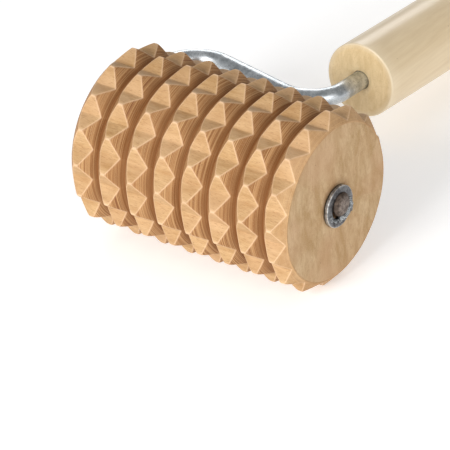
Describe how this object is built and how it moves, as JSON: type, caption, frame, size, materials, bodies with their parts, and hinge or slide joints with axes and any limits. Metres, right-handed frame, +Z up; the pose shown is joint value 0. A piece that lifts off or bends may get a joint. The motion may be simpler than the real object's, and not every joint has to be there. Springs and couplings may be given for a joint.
{
  "type": "wooden massage roller",
  "caption": "Hand massage roller: a ringed wooden roller with pyramid teeth turns freely on a bent round steel rod fixed in a plain round wooden handle.",
  "frame": {"origin": "centre of the footprint on the ground that the tool lies on, with the roller on two rows of teeth and the handle's far edge down", "axes": "+Z up, +X along the roller's axis from the side arm to the washered end, +Y from the roller towards the handle's far end"},
  "size_m": [0.1061, 0.2262, 0.0589],
  "materials": {
    "handle_wood": "pale satin-lacquered hardwood",
    "roller_wood": "turned and cross-cut tan hardwood, smooth, unstained",
    "zinc_rod": "bright zinc-plated, slightly mottled",
    "washer_steel": "dark worn steel with a bright rim",
    "weld_steel": "rough grey weld metal"
  },
  "bodies": {
    "frame": {"frame_rod": "zinc_rod", "handle": "handle_wood", "outer_washer": "washer_steel", "end_weld": "weld_steel"},
    "roller": {"roller": "roller_wood"},
    "washer": {"inner_washer": "washer_steel"}
  },
  "joints": [
    {"name": "roller_spin", "type": "hinge", "parent": "frame", "child": "roller", "pos_m": [0.00835, -0.08362, 0.02946], "axis": [1, 0, 0], "continuous": true},
    {"name": "inner_washer_spin", "type": "hinge", "parent": "frame", "child": "washer", "pos_m": [-0.03374, -0.08362, 0.02946], "axis": [1, 0, 0], "continuous": true}
  ]
}
